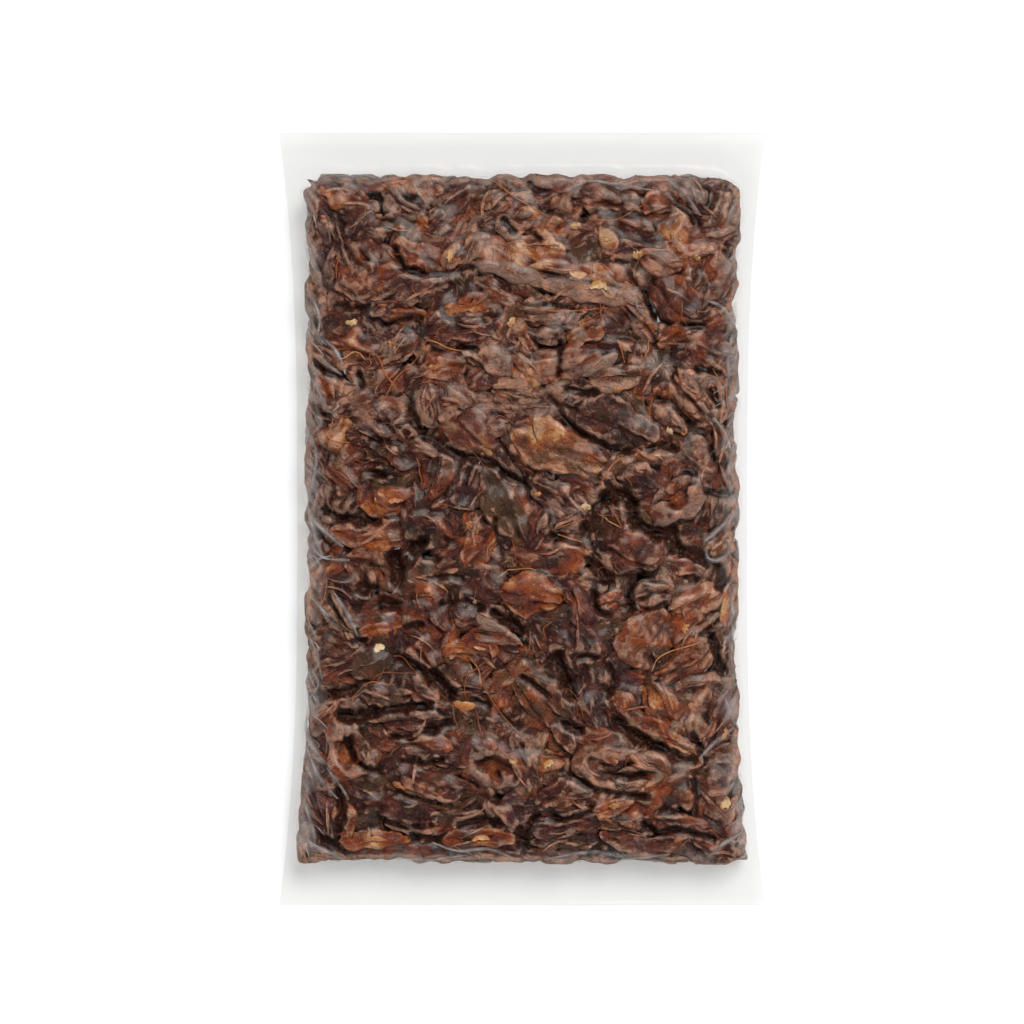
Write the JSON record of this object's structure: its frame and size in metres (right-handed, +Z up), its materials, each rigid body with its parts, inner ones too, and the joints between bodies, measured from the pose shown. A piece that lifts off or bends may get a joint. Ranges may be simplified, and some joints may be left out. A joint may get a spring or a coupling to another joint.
{
  "type": "peeled tamarind in a vacuum pouch",
  "caption": "Peeled tamarind fruits pressed into one flat block inside a clear heat-sealed vacuum pouch, lying on its back.",
  "frame": {"origin": "under the middle of the pouch, on the surface that it lies on", "axes": "+X across the pouch, +Y along it to the end seam with the shorter clear margin, +Z up out of the front film"},
  "size_m": [0.16, 0.254, 0.0201],
  "materials": {
    "film": "clear, thin and glossy, clinging to the fruit, faintly milky where the two layers are sealed together",
    "pulp": "moist, sticky and wrinkled, dark red-brown with amber and ochre patches",
    "fibre": "dry orange-brown strings",
    "seed": "smooth, hard and satin, red-brown"
  },
  "bodies": {
    "root": {"front_film": "film", "back_film": "film", "front_fruit_01": "pulp", "front_fruit_02": "pulp", "front_fruit_03": "pulp", "front_fruit_04": "pulp", "front_fruit_05": "pulp", "front_fruit_06": "pulp", "front_fruit_07": "pulp", "front_fruit_08": "pulp", "front_fruit_09": "pulp", "front_fruit_10": "pulp", "front_fruit_11": "pulp", "front_fruit_12": "pulp", "front_fruit_13": "pulp", "front_fruit_14": "pulp", "front_fruit_15": "pulp", "front_fruit_16": "pulp", "front_fruit_17": "pulp", "front_fruit_18": "pulp", "front_fruit_19": "pulp", "front_fruit_20": "pulp", "front_fruit_21": "pulp", "front_fruit_22": "pulp", "front_fruit_23": "pulp", "front_fruit_24": "pulp", "front_fruit_25": "pulp", "front_fruit_26": "pulp", "front_fruit_27": "pulp", "front_fruit_28": "pulp", "front_fruit_29": "pulp", "front_fruit_30": "pulp", "front_fruit_31": "pulp", "front_fruit_32": "pulp", "front_fruit_33": "pulp", "front_fruit_34": "pulp", "front_fruit_35": "pulp", "front_fruit_36": "pulp", "back_fruit_01": "pulp", "back_fruit_02": "pulp", "back_fruit_03": "pulp", "back_fruit_04": "pulp", "back_fruit_05": "pulp", "back_fruit_06": "pulp", "back_fruit_07": "pulp", "back_fruit_08": "pulp", "back_fruit_09": "pulp", "back_fruit_10": "pulp", "back_fruit_11": "pulp", "back_fruit_12": "pulp", "back_fruit_13": "pulp", "back_fruit_14": "pulp", "back_fruit_15": "pulp", "back_fruit_16": "pulp", "back_fruit_17": "pulp", "back_fruit_18": "pulp", "back_fruit_19": "pulp", "back_fruit_20": "pulp", "back_fruit_21": "pulp", "back_fruit_22": "pulp"}
  },
  "joints": []
}
